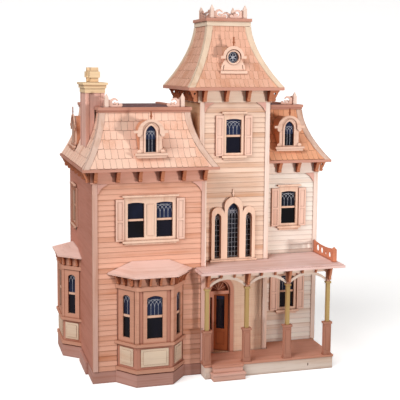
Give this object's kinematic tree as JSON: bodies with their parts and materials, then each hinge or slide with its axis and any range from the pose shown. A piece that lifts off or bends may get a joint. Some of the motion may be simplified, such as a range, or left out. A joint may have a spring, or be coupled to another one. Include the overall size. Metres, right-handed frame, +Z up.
{
  "type": "wooden dollhouse",
  "caption": "Tall wooden mansion dollhouse with mansard roofs, a square tower, bay windows and a columned porch; open at the back, with hinged doors.",
  "frame": {"origin": "middle of the bounding box in plan, on the surface the house stands on", "axes": "+Z up; -Y towards the front of the house, where the porch and front door are; +X towards the wing on the right"},
  "size_m": [0.836, 0.539, 1.095],
  "materials": {
    "plywood": "bare sanded plywood",
    "trim_wood": "bare sanded wood",
    "pale_wood": "bare pale wood",
    "roof_wood": "bare plywood, scored with shingles",
    "grey_wood": "dark bare board",
    "yellow_wood": "bare pine",
    "door_wood": "stained wood",
    "glazing": "dark clear sheet with printed lead lines",
    "knob_brass": "polished",
    "pin_steel": "plain"
  },
  "bodies": {
    "house": {"foundation": "trim_wood", "ground_floor": "plywood", "second_floor": "plywood", "attic_floor": "plywood", "tower_ceiling": "plywood", "main_front_wall": "plywood", "left_side_wall": "plywood", "left_partition": "plywood", "right_partition": "plywood", "tower_front_wall": "plywood", "tower_back_wall": "plywood", "wing_front_wall": "pale_wood", "right_side_wall": "pale_wood", "main_siding": "plywood", "tower_siding": "plywood", "wing_siding": "pale_wood", "corner_boards": "trim_wood", "friezes": "trim_wood", "spandrels": "trim_wood", "eave_brackets": "trim_wood", "eaves": "trim_wood", "main_roof": "roof_wood", "wing_roof": "pale_wood", "tower_roof": "roof_wood", "hip_boards": "trim_wood", "flat_roofs": "grey_wood", "roof_cornices": "trim_wood", "crest_posts": "pale_wood", "crest_scrolls": "trim_wood", "chimney_shaft": "plywood", "chimney_cap": "yellow_wood", "chimney_pots": "yellow_wood", "dormer_cases": "plywood", "dormer_fronts": "trim_wood", "dormer_trims": "trim_wood", "front_bay_walls": "plywood", "side_bay_walls": "plywood", "bay_roofs": "roof_wood", "bay_mouldings": "trim_wood", "bay_panels": "pale_wood", "bay_brackets": "trim_wood", "window_sashes": "trim_wood", "window_glass": "glazing", "window_casings": "trim_wood", "shutters": "trim_wood", "porch_deck": "plywood", "porch_base": "trim_wood", "porch_posts": "yellow_wood", "porch_roof": "roof_wood", "porch_frieze": "trim_wood", "porch_rail": "trim_wood", "door_frames": "trim_wood", "door_pins": "pin_steel", "staircases": "plywood", "fireplace": "pale_wood"},
    "front_door": {"front_door": "door_wood", "front_door_glass": "glazing", "front_door_knob": "knob_brass"},
    "parlour_door": {"parlour_door": "trim_wood"},
    "bedroom_door": {"bedroom_door": "trim_wood"}
  },
  "joints": [
    {"name": "front_door_hinge", "type": "hinge", "parent": "house", "child": "front_door", "pos_m": [0.074, -0.1235, 0.132], "axis": [0, 0, -1], "range_deg": [-30, 60]},
    {"name": "parlour_door_hinge", "type": "hinge", "parent": "house", "child": "parlour_door", "pos_m": [-0.02, 0.1945, 0.132], "axis": [0, 0, -1], "range_deg": [0, 90]},
    {"name": "bedroom_door_hinge", "type": "hinge", "parent": "house", "child": "bedroom_door", "pos_m": [0.196, 0.1945, 0.418], "axis": [0, 0, 1], "range_deg": [0, 90]}
  ]
}
